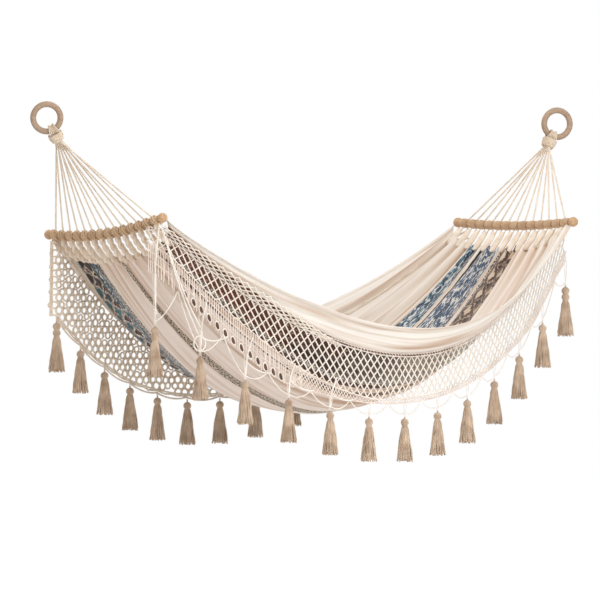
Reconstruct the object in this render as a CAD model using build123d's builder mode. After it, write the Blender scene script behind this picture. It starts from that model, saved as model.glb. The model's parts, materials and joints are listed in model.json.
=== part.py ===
# Spreader-bar hammock: a woven bed hung between two wooden rings, with lace sides and tassels.
# Millimetres. The origin is the centre of the left ring, +X runs to the right ring, +Z is up.
# The near side is -Y and the far side is +Y.
from math import cos, pi, radians, sin, sqrt, tan
import os

from build123d import *

os.makedirs("parts", exist_ok=True)

# Rings that go on the hooks
ring_span = 2190
ring_outer = 119
ring_tube = 21.5
ring_turn_left = 33
ring_turn_right = 16
right_ring_lower = 12

# Spreader bars
bar_length = 754
bar_diameter = 22
ball_diameter = 36
bar_inset_left = 249
bar_inset_right = 181
bar_depth_left = 387
bar_depth_right = 369
bar_bow_left = 27
bar_bow_right = 13
bar_tilt_left = 4.4

# Clew: the fan of cords from each ring to its bar
clew_cords_left = 14
clew_cords_right = 13
clew_cord_diameter = 4.5
clew_row_gap = 1.5
clew_top_gap = 1.1
hitch_wall = 4.2
hitch_gap = 8
hitch_shoulder = 3

# Lashing that ties the clew round the ring
eye_width = 24
eye_outer = 44
eye_waist_clearance = 0.7
eye_mouth_clearance = 7.5
lashing_diameter = 52
lashing_length = 34
lashing_clearance = 2.75

# Bed cloth
cloth_thickness = 8
cloth_inset = 5
cloth_bulge = 330
edge_sag = 390
bed_depth = 290
loop_reach = 62
loop_width = 30
loop_thickness = 5

# Lace sides: how far each hangs from the cloth edge to its tassel heads, at left, middle and right
lace_thickness = 4
lace_line = 0.87
lace_past_bar = 30
lace_drop = {-1: (405, 335, 250), 1: (332, 250, 250)}
hanger_height = {-1: 50, 1: 20}
bar_to_lace = 20

# Tassels and the cord loops that they hang from
tassels_per_side = 13
hanger_diameter = 3
hanger_width = 18
tassel_eye_diameter = 2.4
tassel_head = 29
tassel_neck = 18
tassel_shoulder = 28
tassel_hem = 60
tassel_skirt = 126
neck_length = 5

# Clearances
fit = 0.3
seam_gap = 0.5
bore_clearance = 0.2

side_names = {-1: "near", 1: "far"}
ring_radius = (ring_outer - ring_tube) / 2
left_bar_x = bar_inset_left
right_bar_x = ring_span - bar_inset_right
bed_length = right_bar_x - left_bar_x
bar_half = bar_length / 2
hitch_diameter = bar_diameter + 2 * (fit + hitch_wall)
clew_rows_apart = clew_cord_diameter + clew_row_gap
clew_top_pitch = clew_cord_diameter + clew_top_gap


def arc_height(ends, y):
    """Height at y of the arc that sags through three (y, z) points."""
    (y1, z1), (y2, z2), (y3, z3) = ends
    d = 2 * (y1 * (z2 - z3) + y2 * (z3 - z1) + y3 * (z1 - z2))
    s1, s2, s3 = y1**2 + z1**2, y2**2 + z2**2, y3**2 + z3**2
    yc = (s1 * (z2 - z3) + s2 * (z3 - z1) + s3 * (z1 - z2)) / d
    zc = (s1 * (y3 - y2) + s2 * (y1 - y3) + s3 * (y2 - y1)) / d
    return zc - sqrt((y1 - yc) ** 2 + (z1 - zc) ** 2 - (y - yc) ** 2)


def along_bed(x):
    """Share of the bed's length, held within the bed."""
    return min(max((x - left_bar_x) / bed_length, 0), 1)


def half_width(x):
    return bar_half - cloth_inset + cloth_bulge * sin(pi * along_bed(x))


def edge_height(x):
    t = along_bed(x)
    bars = bar_depth_left * (1 - t) + bar_depth_right * t
    return -bars - edge_sag * 4 * t * (1 - t)


def edge_tilt(x):
    """The bed leans with the left bar and is level at the right one."""
    return tan(radians(bar_tilt_left)) * (1 - along_bed(x)) ** 2


def bed_arc(x):
    """The bed's cross-section: near edge, middle and far edge as (y, z)."""
    t = along_bed(x)
    w = half_width(x)
    z = edge_height(x)
    lean = edge_tilt(x) * w
    bow = bar_bow_left * (1 - t) + bar_bow_right * t
    depth = bow + (bed_depth - bow) * sin(pi * t)
    return (-w, z + lean), (0, z - depth), (w, z - lean)


def bar_arc(x):
    """A bar's axis: near end, middle and far end as (y, z)."""
    left = x == left_bar_x
    z = -(bar_depth_left if left else bar_depth_right)
    bow = bar_bow_left if left else bar_bow_right
    lean = tan(radians(bar_tilt_left)) * bar_half if left else 0
    return (-bar_half, z + lean), (0, z - bow), (bar_half, z - lean)


# Stations along the bed: one at each tassel and one half way to the next
tassel_pitch = bed_length / (tassels_per_side - 1)
tassel_xs = [left_bar_x + i * tassel_pitch for i in range(tassels_per_side)]
mid_xs = [x + tassel_pitch / 2 for x in tassel_xs[:-1]]
cloth_start = left_bar_x + loop_reach
cloth_end = right_bar_x - loop_reach
inner_xs = sorted(x for x in tassel_xs[1:-1] + mid_xs if cloth_start + 5 < x < cloth_end - 5)
cloth_xs = [cloth_start] + inner_xs + [cloth_end]
eave = hitch_diameter / 4
lace_xs = [left_bar_x - lace_past_bar, left_bar_x - eave] + cloth_xs
lace_xs += [right_bar_x + eave, right_bar_x + lace_past_bar]


def lace_y(side, x):
    return side * lace_line * half_width(x)


def drop_at(side, x):
    """Edge-to-tassel drop: the curve through its three set values."""
    t = along_bed(x)
    left, middle, right = lace_drop[side]
    return left * (1 - t) * (1 - 2 * t) + middle * 4 * t * (1 - t) + right * t * (2 * t - 1)


def head_height(side, x):
    return bed_arc(x)[1 + side][1] - drop_at(side, x)


def hinge_height(side, x):
    return head_height(side, x) + tassel_head / 2 + tassel_eye_diameter + hanger_diameter / 2


def lace_top(side, x, y):
    """The lace meets the bed's underside, and passes under the bar beyond it."""
    if cloth_start <= x <= cloth_end:
        return arc_height(bed_arc(x), y) - cloth_thickness / 2 - seam_gap
    bar_x = left_bar_x if x < cloth_start else right_bar_x
    return arc_height(bar_arc(bar_x), y) - bar_to_lace


def lace_bottom(side, x):
    return hinge_height(side, x) + hanger_height[side]


def between_stations(values, x):
    """Straight-line value at x between the lace's stations."""
    for a, b, va, vb in zip(lace_xs, lace_xs[1:], values, values[1:]):
        if a <= x <= b:
            return va + (vb - va) * (x - a) / (b - a)
    raise ValueError(f"{x} is off the lace")


# Rings
def ring_axis(turn):
    return Vector(sin(radians(turn)), cos(radians(turn)), 0)


def make_ring(centre, turn):
    axis = ring_axis(turn)
    with BuildPart() as ring:
        with BuildSketch(Plane(origin=centre, x_dir=axis, z_dir=axis.cross(Vector(0, 0, 1)))):
            with Locations((0, ring_radius)):
                Circle(ring_tube / 2)
        revolve(axis=Axis(centre, axis))
    return ring.part


rings = {
    "left": (Vector(0, 0, 0), ring_turn_left),
    "right": (Vector(ring_span, 0, -right_ring_lower), ring_turn_right),
}
for end, (centre, turn) in rings.items():
    ring_part = make_ring(centre, turn)
    ring_part.label = f"ring_{end}"
    export_step(ring_part, f"parts/ring_{end}.step")


# Lashings: each has an eye that the ring's tube turns in, and a barrel that holds the cords
def bar_middle(end):
    x = left_bar_x if end == "left" else right_bar_x
    return Vector(x, 0, bar_arc(x)[1][1])


def lashing_frame(end):
    """Point on the ring's tube, the tube's direction there, and the pull of the clew."""
    centre, turn = rings[end]
    axis = ring_axis(turn)
    pull = (bar_middle(end) - centre).normalized()
    out = (pull - axis * pull.dot(axis)).normalized()
    point = centre + out * ring_radius
    return point, axis.cross(out).normalized(), (bar_middle(end) - point).normalized()


def make_lashing(end):
    point, tube, pull = lashing_frame(end)
    side_plane = Plane(origin=point, x_dir=tube, z_dir=tube.cross(pull))
    waist = ring_tube / 2 + eye_waist_clearance
    mouth = ring_tube / 2 + eye_mouth_clearance
    half = eye_width / 2
    start = ring_tube / 2 + lashing_clearance
    with BuildPart() as lashing:
        with BuildSketch(side_plane):
            with Locations((0, eye_outer / 4)):
                Rectangle(eye_width, eye_outer / 2)
        revolve(axis=Axis(point, tube))
        with BuildSketch(Plane(origin=point + pull * start, z_dir=pull)):
            Circle(lashing_diameter / 2)
        extrude(amount=lashing_length)
        with BuildSketch(side_plane):
            with BuildLine():
                Polyline((-half, 0), (-half, mouth), (0, waist), (half, mouth), (half, 0), close=True)
            make_face()
        revolve(axis=Axis(point, tube), mode=Mode.SUBTRACT)
    return lashing.part


for end in rings:
    lashing_part = make_lashing(end)
    lashing_part.label = f"lashing_{end}"
    export_step(lashing_part, f"parts/lashing_{end}.step")


# Spreader bars, with a ball on each end
def make_bar(x):
    (y1, z1), (y2, z2), (y3, z3) = bar_arc(x)
    with BuildPart() as bar:
        with BuildLine() as axis_line:
            ThreePointArc((x, y1, z1), (x, y2, z2), (x, y3, z3))
        with BuildSketch(Plane(origin=axis_line.line @ 0, z_dir=axis_line.line % 0)):
            Circle(bar_diameter / 2)
        sweep()
    return bar.part


def bar_frame(x, y):
    """Point on a bar's axis and the bar's direction there."""
    ends = bar_arc(x)
    step = 0.5
    slope = (arc_height(ends, y + step) - arc_height(ends, y - step)) / (2 * step)
    return Vector(x, y, arc_height(ends, y)), Vector(0, 1, slope).normalized()


def make_balls(x):
    with BuildPart() as balls:
        for inward in (1, -1):
            y = -inward * bar_half
            slope_y = -inward * (bar_half - 1)
            end_point = Vector(x, y, arc_height(bar_arc(x), y))
            direction = bar_frame(x, slope_y)[1] * inward
            with BuildSketch(Plane(origin=end_point, x_dir=direction, z_dir=(1, 0, 0))):
                Circle(ball_diameter / 2)
                Rectangle(ball_diameter, ball_diameter / 2, align=(Align.CENTER, Align.MAX),
                          mode=Mode.SUBTRACT)
            revolve(axis=Axis(end_point, direction))
            with BuildSketch(Plane(origin=end_point - direction * bore_clearance, z_dir=direction)):
                Circle(bar_diameter / 2 + bore_clearance)
            extrude(amount=ball_diameter, mode=Mode.SUBTRACT)
    return balls.part


bar_xs = {"left": left_bar_x, "right": right_bar_x}
cord_counts = {"left": clew_cords_left, "right": clew_cords_right}
for end, x in bar_xs.items():
    bar_part = make_bar(x)
    bar_part.label = f"spreader_bar_{end}"
    export_step(bar_part, f"parts/spreader_bar_{end}.step")
    ball_part = make_balls(x)
    ball_part.label = f"bar_balls_{end}"
    export_step(ball_part, f"parts/bar_balls_{end}.step")


# Hitches round the bar, one under each clew cord
hitch_room = bar_length - ball_diameter - 2 * fit


def hitch_ys(count):
    pitch = hitch_room / count
    return [(i - (count - 1) / 2) * pitch for i in range(count)]


def make_hitches(x, count):
    half = (hitch_room / count - hitch_gap) / 2
    inner = bar_diameter / 2 + fit
    outer = hitch_diameter / 2
    with BuildPart() as hitches:
        for y in hitch_ys(count):
            point, direction = bar_frame(x, y)
            with BuildSketch(Plane(origin=point, x_dir=direction, z_dir=(1, 0, 0))):
                with BuildLine():
                    Line((-half, outer - hitch_shoulder), (-half, inner))
                    Line((-half, inner), (half, inner))
                    Line((half, inner), (half, outer - hitch_shoulder))
                    ThreePointArc((half, outer - hitch_shoulder), (0, outer),
                                  (-half, outer - hitch_shoulder))
                make_face()
            revolve(axis=Axis(point, direction))
    return hitches.part


# Clew cords run straight from the lashing to the hitches
def make_clew(end, count):
    point, tube, pull = lashing_frame(end)
    radius = clew_cord_diameter / 2
    thickness = pull.cross(Vector(0, 1, 0)).normalized()
    across = thickness.cross(pull)
    mouth = point + pull * (ring_tube / 2 + lashing_clearance + lashing_length + fit)
    with BuildPart() as clew:
        for i, y in enumerate(hitch_ys(count)):
            row = clew_rows_apart / 2 * (1 if i % 2 else -1)
            place = (i - (count - 1) / 2) * clew_top_pitch / 2
            top = mouth + across * place + thickness * row
            seat = bar_frame(bar_xs[end], y)[0]
            way = (seat - top).normalized()
            start = top + way * radius * tan(radians(way.get_angle(pull)))
            stop = (hitch_diameter / 2 + fit + radius * abs(way.Y)) / sqrt(1 - way.Y**2)
            with BuildSketch(Plane(origin=start, z_dir=way)):
                Circle(radius)
            extrude(amount=(seat - start).length - stop)
    return clew.part


# End loops: cloth tabs from each hitch to the bed
def make_loops(end, count):
    x = bar_xs[end]
    inward = 1 if end == "left" else -1
    cloth_x = x + inward * loop_reach
    with BuildPart() as loops:
        for y in hitch_ys(count):
            bar_z = arc_height(bar_arc(x), y)
            cloth_z = arc_height(bed_arc(cloth_x), y)
            way = Vector(cloth_x - x, 0, cloth_z - bar_z).normalized()
            up = Vector(-way.Z, 0, way.X) * (loop_thickness / 2) * inward
            lean = abs(bar_frame(x, y)[1].Z * way.Z) * loop_width / 2
            start = Vector(x, 0, bar_z) + way * (hitch_diameter / 2 + fit + lean)
            rise = loop_thickness / 2 / abs(way.X)
            stop = Vector(cloth_x - inward * fit, 0, cloth_z)
            corners = [start + up, start - up, stop - Vector(0, 0, rise), stop + Vector(0, 0, rise)]
            with BuildSketch(Plane(origin=(0, y, 0), x_dir=(1, 0, 0), z_dir=(0, -1, 0))):
                with BuildLine():
                    Polyline(*[(c.X, c.Z) for c in corners], close=True)
                make_face()
            extrude(amount=loop_width / 2, both=True)
    return loops.part


for end, count in cord_counts.items():
    made = {
        f"bar_hitches_{end}": make_hitches(bar_xs[end], count),
        f"clew_cords_{end}": make_clew(end, count),
        f"end_loops_{end}": make_loops(end, count),
    }
    for name, piece in made.items():
        piece.label = name
        export_step(piece, f"parts/{name}.step")

# Bed cloth: a thin shell through the arc at each station
with BuildPart() as bed_cloth:
    for x in cloth_xs:
        near, middle, far = bed_arc(x)
        half = cloth_thickness / 2
        with BuildSketch(Plane.YZ.offset(x)):
            with BuildLine():
                ThreePointArc((near[0], near[1] + half), (0, middle[1] + half), (far[0], far[1] + half))
                Line((far[0], far[1] + half), (far[0], far[1] - half))
                ThreePointArc((far[0], far[1] - half), (0, middle[1] - half), (near[0], near[1] - half))
                Line((near[0], near[1] - half), (near[0], near[1] + half))
            make_face()
    loft(ruled=True)
bed_cloth.part.label = "bed_cloth"
export_step(bed_cloth.part, "parts/bed_cloth.step")


# Lace sides: upright walls that follow the bed's outline
def make_lace(side):
    with BuildPart() as lace:
        for x in lace_xs:
            y = lace_y(side, x)
            left_y = y - lace_thickness / 2
            right_y = y + lace_thickness / 2
            bottom = lace_bottom(side, x)
            with BuildSketch(Plane.YZ.offset(x)):
                with BuildLine():
                    Polyline((left_y, bottom), (right_y, bottom), (right_y, lace_top(side, x, right_y)),
                             (left_y, lace_top(side, x, left_y)), close=True)
                make_face()
        loft(ruled=True)
    return lace.part


# Hangers: a small U of cord under the lace for each tassel
def hanger_frame(side, x):
    """The tassel's pivot and the direction along the lace there."""
    ys = [lace_y(side, s) for s in lace_xs]
    span = hanger_width / 2
    ahead = between_stations(ys, x + span) - between_stations(ys, x - span)
    pivot = Vector(x, between_stations(ys, x), hinge_height(side, x))
    return pivot, Vector(2 * span, ahead, 0).normalized()


def make_hangers(side):
    bottoms = [lace_bottom(side, s) for s in lace_xs]
    radius = hanger_diameter / 2
    corner = (hanger_width - 4 * radius) / 2
    with BuildPart() as hangers:
        for x in tassel_xs:
            pivot, way = hanger_frame(side, x)
            feet = [pivot - way * (hanger_width / 2), pivot + way * (hanger_width / 2)]
            tops = []
            for foot in feet:
                reach = radius + 0.1
                heights = [between_stations(bottoms, foot.X + shift) for shift in (-reach, 0, reach)]
                tops.append(Vector(foot.X, foot.Y, min(heights) - fit))
            with BuildLine() as route:
                FilletPolyline(tops[0], feet[0], feet[1], tops[1], radius=corner)
            with BuildSketch(Plane(origin=tops[0], z_dir=(0, 0, -1))):
                Circle(radius)
            sweep(path=route.line)
    return hangers.part


for side, name in side_names.items():
    lace_part = make_lace(side)
    lace_part.label = f"lace_{name}"
    export_step(lace_part, f"parts/lace_{name}.step")
    hanger_part = make_hangers(side)
    hanger_part.label = f"tassel_hangers_{name}"
    export_step(hanger_part, f"parts/tassel_hangers_{name}.step")


# Tassels: an eye, one head or two, a bound neck and a skirt
def make_tassel(pivot, way, heads):
    head = tassel_head / 2
    neck = tassel_neck / 2
    dip = sqrt(head**2 - neck**2)
    eye_radius = hanger_diameter / 2 + fit + tassel_eye_diameter / 2
    top = -eye_radius
    upright = Plane(origin=pivot, x_dir=way, z_dir=way.cross(Vector(0, 0, 1)))
    with BuildPart() as tassel:
        with BuildSketch(upright):
            with BuildLine():
                start = (0, top)
                for i in range(heads):
                    centre = top - head - i * 2 * dip
                    stop = (neck, centre - dip)
                    ThreePointArc(start, (head, centre), stop)
                    start = stop
                neck_end = (neck, start[1] - neck_length)
                hem = neck_end[1] - tassel_skirt
                shoulder = (tassel_shoulder / 2, neck_end[1] - neck_length)
                Polyline(start, neck_end, shoulder, (tassel_hem / 2, hem), (0, hem), (0, top))
            make_face()
        revolve(axis=Axis(pivot, (0, 0, 1)))
        with BuildSketch(upright):
            with Locations((0, eye_radius)):
                Circle(tassel_eye_diameter / 2)
        revolve(axis=Axis(pivot, way))
    return tassel.part


tassels = {}
for side, name in side_names.items():
    for i, x in enumerate(tassel_xs):
        heads = 2 if i in (0, tassels_per_side - 1) else 1
        label = f"tassel_{name}_{i + 1:02d}"
        tassels[label] = hanger_frame(side, x)
        tassel_part = make_tassel(*tassels[label], heads)
        tassel_part.label = label
        export_step(tassel_part, f"parts/{label}.step")
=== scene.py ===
import json
import math
import random

import bmesh
import bpy
import numpy as np
from mathutils import Matrix, Vector


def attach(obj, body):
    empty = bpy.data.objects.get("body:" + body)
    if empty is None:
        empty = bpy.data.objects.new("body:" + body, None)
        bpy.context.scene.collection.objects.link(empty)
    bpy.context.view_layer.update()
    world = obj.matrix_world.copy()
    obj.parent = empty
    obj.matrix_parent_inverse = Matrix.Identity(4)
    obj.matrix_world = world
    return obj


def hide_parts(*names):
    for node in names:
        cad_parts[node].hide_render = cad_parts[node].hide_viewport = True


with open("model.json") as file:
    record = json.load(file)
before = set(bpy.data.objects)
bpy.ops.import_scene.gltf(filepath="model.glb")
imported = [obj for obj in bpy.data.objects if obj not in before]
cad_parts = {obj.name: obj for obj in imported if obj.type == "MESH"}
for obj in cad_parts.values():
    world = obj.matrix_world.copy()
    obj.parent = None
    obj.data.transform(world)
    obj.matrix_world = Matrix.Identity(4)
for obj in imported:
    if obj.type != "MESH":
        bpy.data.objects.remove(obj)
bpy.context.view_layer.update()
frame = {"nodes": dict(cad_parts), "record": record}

scene = bpy.context.scene
tau = 2 * math.pi
print("frame loaded:", len(frame["nodes"]), "nodes")


def placeObject(name, data):
    obj = bpy.data.objects.new(name, data)
    scene.collection.objects.link(obj)
    return obj


def hexColour(code):
    # sRGB hex to the linear values that shaders use
    parts = [int(code[i:i + 2], 16) / 255 for i in (1, 3, 5)]
    return [p / 12.92 if p <= 0.04045 else ((p + 0.055) / 1.055) ** 2.4 for p in parts] + [1.0]


def addNode(tree, kind, links=None, stops=None, **settings):
    # one node with its settings, its inputs and, on a ramp, its stops; an input takes a node, a socket, a
    # colour code or a value
    node = tree.nodes.new(kind)
    for name, value in settings.items():
        setattr(node, name, value)
    for socket, source in (links or {}).items():
        if isinstance(source, bpy.types.Node):
            source = source.outputs[0]
        elif str(source).startswith("#"):
            source = hexColour(source)
        if isinstance(source, bpy.types.NodeSocket):
            tree.links.new(source, node.inputs[socket])
        else:
            node.inputs[socket].default_value = source
    if stops:
        elements = node.color_ramp.elements
        while len(elements) < len(stops):
            elements.new(0.5)
        for element, (place, code) in zip(elements, stops):
            element.position = place
            element.color = hexColour(code)
    return node


def calc(tree, operation, *values):
    return addNode(tree, "ShaderNodeMath", dict(enumerate(values)), operation=operation).outputs[0]


def calcVector(tree, operation, *values):
    return addNode(tree, "ShaderNodeVectorMath", dict(enumerate(values)), operation=operation).outputs[0]


def remap(tree, value, low, high, start=0.0, end=1.0):
    # start to end becomes low to high
    return addNode(tree, "ShaderNodeMapRange", {"Value": value, "From Min": start, "From Max": end, "To Min": low,
                                                "To Max": high}).outputs[0]


def ramp(tree, value, *stops):
    return addNode(tree, "ShaderNodeValToRGB", {"Fac": value}, stops=stops).outputs["Color"]


def blend(tree, share, first, second, way="MIX"):
    return addNode(tree, "ShaderNodeMix", {0: share, 6: first, 7: second}, data_type="RGBA",
                   blend_type=way).outputs[2]


def noise(tree, place, scale, detail=2.0, distortion=0.0):
    return addNode(tree, "ShaderNodeTexNoise", {"Vector": place, "Scale": scale, "Detail": detail,
                                                "Distortion": distortion}).outputs["Fac"]


def mixShader(tree, share, first, second):
    return addNode(tree, "ShaderNodeMixShader", {0: share, 1: first, 2: second}).outputs[0]


# the bed's shape: the same sizes as the frame, in metres
hung = {
    "leftBar": 0.249, "rightBar": 2.009, "clothStart": 0.311, "clothEnd": 1.947,
    "barHalf": 0.377, "endHalf": 0.372, "bulge": 0.330, "depthLeft": 0.387, "depthRight": 0.369,
    "edgeSag": 0.390, "bedDepth": 0.290, "bowLeft": 0.027, "bowRight": 0.013,
    "tilt": math.tan(math.radians(4.4)), "laceLine": 0.87, "barToLace": 0.020,
    "clothToLace": 0.0045, "eave": 0.00775, "hingeRise": 0.0184, "tassels": 13,
}
bedLength = hung["rightBar"] - hung["leftBar"]
laceDrop = {"near": (0.405, 0.335, 0.250), "far": (0.332, 0.250, 0.250)}
hangerHeight = {"near": 0.050, "far": 0.020}
sideSign = {"near": -1, "far": 1}
laceWave = {"size": 0.0045, "reach": 0.30, "long": 0.231, "short": 0.097}
tasselXs = [hung["leftBar"] + i * bedLength / (hung["tassels"] - 1) for i in range(hung["tassels"])]


def alongBed(x):
    return np.clip((np.asarray(x, float) - hung["leftBar"]) / bedLength, 0, 1)


def halfWidth(x):
    return hung["endHalf"] + hung["bulge"] * np.sin(np.pi * alongBed(x))


def edgeHeight(x, sign=0):
    t = alongBed(x)
    level = -(hung["depthLeft"] * (1 - t) + hung["depthRight"] * t) - hung["edgeSag"] * 4 * t * (1 - t)
    return level - sign * hung["tilt"] * (1 - t) ** 2 * halfWidth(x)


def circleThrough(y1, z1, y2, z2, y3, z3):
    d = 2 * (y1 * (z2 - z3) + y2 * (z3 - z1) + y3 * (z1 - z2))
    s1, s2, s3 = y1**2 + z1**2, y2**2 + z2**2, y3**2 + z3**2
    yc = (s1 * (z2 - z3) + s2 * (z3 - z1) + s3 * (z1 - z2)) / d
    zc = (s1 * (y3 - y2) + s2 * (y1 - y3) + s3 * (y2 - y1)) / d
    return yc, zc, np.sqrt((y1 - yc) ** 2 + (z1 - zc) ** 2)


def bedCircle(x):
    t = alongBed(x)
    bow = hung["bowLeft"] * (1 - t) + hung["bowRight"] * t
    depth = bow + (hung["bedDepth"] - bow) * np.sin(np.pi * t)
    w = halfWidth(x)
    return circleThrough(-w, edgeHeight(x, -1), 0 * w, edgeHeight(x) - depth, w, edgeHeight(x, 1))


def bedHeight(x, y):
    yc, zc, r = bedCircle(x)
    return zc - np.sqrt(r**2 - (y - yc) ** 2)


def bedPoint(x, u):
    # u runs 0 at the near edge to 1 at the far edge; also gives the upward normal
    yc, zc, r = bedCircle(x)
    w = halfWidth(x)
    start = np.arctan2(edgeHeight(x, -1) - zc, -w - yc)
    stop = np.arctan2(edgeHeight(x, 1) - zc, w - yc)
    angle = start + (stop - start) * u
    return yc + r * np.cos(angle), zc + r * np.sin(angle), -np.cos(angle), -np.sin(angle)


def barHeight(end, y):
    half = hung["barHalf"]
    z = -hung["depthLeft"] if end == "left" else -hung["depthRight"]
    bow = hung["bowLeft"] if end == "left" else hung["bowRight"]
    lean = hung["tilt"] * half if end == "left" else 0
    yc, zc, r = circleThrough(-half, z + lean, 0, z - bow, half, z - lean)
    return zc - np.sqrt(r**2 - (y - yc) ** 2)


def laceY(side, x):
    return sideSign[side] * hung["laceLine"] * halfWidth(x)


def laceTop(side, x):
    x = np.asarray(x, float)
    top = bedHeight(x, laceY(side, x)) - hung["clothToLace"]
    for end, bar, cloth in (("left", "leftBar", "clothStart"), ("right", "rightBar", "clothEnd")):
        way = 1 if end == "left" else -1
        eave = hung[bar] - way * hung["eave"]
        clothX = np.full_like(x, hung[cloth])
        clothTop = bedHeight(clothX, laceY(side, clothX)) - hung["clothToLace"]
        barTop = barHeight(end, laceY(side, x)) - hung["barToLace"]
        share = np.clip((x - eave) / (hung[cloth] - eave), 0, 1)
        past = (x < hung[cloth]) if way > 0 else (x > hung[cloth])
        top = np.where(past, barTop + (clothTop - barTop) * share, top)
    return top


def hingeHeight(side, x):
    t = alongBed(x)
    left, middle, right = laceDrop[side]
    drop = left * (1 - t) * (1 - 2 * t) + middle * 4 * t * (1 - t) + right * t * (2 * t - 1)
    return edgeHeight(x, sideSign[side]) - drop + hung["hingeRise"]


def laceBottom(side, x):
    return hingeHeight(side, x) + hangerHeight[side]


def lacePoint(side, x, z):
    # the hanging lace ripples a little, more at its foot
    x = np.asarray(x, float)
    z = np.asarray(z, float)
    fall = np.clip((laceTop(side, x) - z) / laceWave["reach"], 0, 1)
    waves = np.sin(tau * x / laceWave["long"] + 1.3) + 0.5 * np.sin(tau * x / laceWave["short"])
    ripple = laceWave["size"] * fall * waves
    return np.stack([x, laceY(side, x) + ripple, z], -1)


# camera, lights, floor
view = {"azimuth": -33.0, "lens": 1333.3, "distance": 80.0, "lookAt": (1.0869, 0.0126, -0.651)}
camera = placeObject("camera", bpy.data.cameras.new("camera"))
camera.data.type = "PERSP"
camera.data.lens = view["lens"]
camera.data.sensor_width = 36
camera.data.clip_end = 400
turn = math.radians(view["azimuth"])
back = Vector((math.sin(turn), -math.cos(turn), 0))
camera.location = Vector(view["lookAt"]) + back * view["distance"]
camera.rotation_euler = back.to_track_quat("Z", "Y").to_euler()
scene.camera = camera
scene.view_settings.view_transform = "Standard"

studio = {"fill": 0.60, "floorHeight": -1.76, "glow": 1.38, "glowShare": 0.6}
world = bpy.data.worlds.new("studio")
scene.world = world
world.use_nodes = True
worldTree = world.node_tree
worldTree.nodes.clear()
path = addNode(worldTree, "ShaderNodeLightPath").outputs
seen = calc(worldTree, "MAXIMUM", path["Is Camera Ray"], path["Is Glossy Ray"])
seen = calc(worldTree, "MAXIMUM", seen, path["Is Transmission Ray"])
fill = addNode(worldTree, "ShaderNodeBackground", {"Color": "#fffdfa", "Strength": studio["fill"]})
bright = addNode(worldTree, "ShaderNodeBackground", {"Color": "#ffffff", "Strength": 1.0})
addNode(worldTree, "ShaderNodeOutputWorld", {"Surface": mixShader(worldTree, seen, fill, bright)})

lamps = {  # place, aim, size, watts
    "keyLamp": ((-1.2, -4.2, 2.9), (1.0, 0.0, -0.6), 2.6, 98),
    "fillLamp": ((4.4, -3.2, 1.2), (1.1, 0.0, -0.7), 2.4, 26),
    "lowLamp": ((0.4, -4.6, -1.1), (1.0, 0.0, -0.8), 2.6, 78),
    "topLamp": ((1.1, 0.3, 3.2), (1.1, 0.0, -0.6), 2.6, 52),
    "backLamp": ((0.6, 4.2, 1.6), (1.1, 0.0, -0.6), 2.4, 52),
}
for name, (place, aim, size, watts) in lamps.items():
    lamp = bpy.data.lights.new(name, "AREA")
    lamp.shape = "SQUARE"
    lamp.size = size
    lamp.energy = watts
    lampObj = placeObject(name, lamp)
    lampObj.location = place
    lampObj.rotation_euler = (Vector(place) - Vector(aim)).to_track_quat("Z", "Y").to_euler()

floorMesh = bpy.data.meshes.new("floor")
floorCorners = [(x, y, studio["floorHeight"]) for x, y in ((-30, -30), (32, -30), (32, 60), (-30, 60))]
floorMesh.from_pydata(floorCorners, [], [(0, 1, 2, 3)])
floor = placeObject("floor", floorMesh)
floorPaint = bpy.data.materials.new("paleFloor")
floorPaint.use_nodes = True
floorTree = floorPaint.node_tree
floorTree.nodes.clear()
path = addNode(floorTree, "ShaderNodeLightPath").outputs
seen = calc(floorTree, "MAXIMUM", path["Is Camera Ray"], path["Is Glossy Ray"])
seen = calc(floorTree, "MULTIPLY", seen, studio["glowShare"])
matt = addNode(floorTree, "ShaderNodeBsdfDiffuse", {"Color": "#f4f2ef"})
glow = addNode(floorTree, "ShaderNodeEmission", {"Color": "#ffffff", "Strength": studio["glow"]})
addNode(floorTree, "ShaderNodeOutputMaterial", {"Surface": mixShader(floorTree, seen, matt, glow)})
floorMesh.materials.append(floorPaint)
print("studio ready")


# finishes
def startFinish(name):
    finish = bpy.data.materials.new(name)
    finish.use_nodes = True
    finish.node_tree.nodes.clear()
    place = addNode(finish.node_tree, "ShaderNodeTexCoord").outputs["Object"]
    return finish, finish.node_tree, place


def endFinish(tree, colour, height, bump, roughness, sheen=0.0):
    bumpNode = addNode(tree, "ShaderNodeBump", {"Strength": bump[0], "Distance": bump[1], "Height": height})
    shader = addNode(tree, "ShaderNodeBsdfPrincipled", {
        "Base Color": colour, "Roughness": roughness, "Normal": bumpNode,
        "Sheen Weight": sheen, "Sheen Roughness": 0.6, "Specular IOR Level": 0.25})
    addNode(tree, "ShaderNodeOutputMaterial", {"Surface": shader})


def cottonYarn(name, light, dark):
    # spun cotton: matt and a little fuzzy; 1.5 mm fibre tufts and slow changes of dye every 40 mm
    finish, tree, place = startFinish(name)
    fibre = noise(tree, place, 650.0, 3.0)
    dye = noise(tree, place, 25.0)
    mean = calc(tree, "MULTIPLY", calc(tree, "ADD", fibre, dye), 0.5)
    endFinish(tree, ramp(tree, mean, (0.34, dark), (0.62, light)), fibre, (0.22, 0.0004), 0.92, 0.25)
    return finish


def turnedWood(name, light, dark, stretch):
    # turned and oiled wood: stretch is how many grains go to a metre each way; low sheen, fine lathe marks
    finish, tree, place = startFinish(name)
    grain = noise(tree, calcVector(tree, "MULTIPLY", place, stretch), 1.0, 5.0, 0.6)
    pore = noise(tree, place, 420.0)
    bump = addNode(tree, "ShaderNodeBump", {"Strength": 0.12, "Distance": 0.0003, "Height": pore})
    shader = addNode(tree, "ShaderNodeBsdfPrincipled", {
        "Base Color": ramp(tree, grain, (0.34, dark), (0.62, light)), "Roughness": remap(tree, pore, 0.42, 0.62),
        "Normal": bump})
    addNode(tree, "ShaderNodeOutputMaterial", {"Surface": shader})
    return finish


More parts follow.
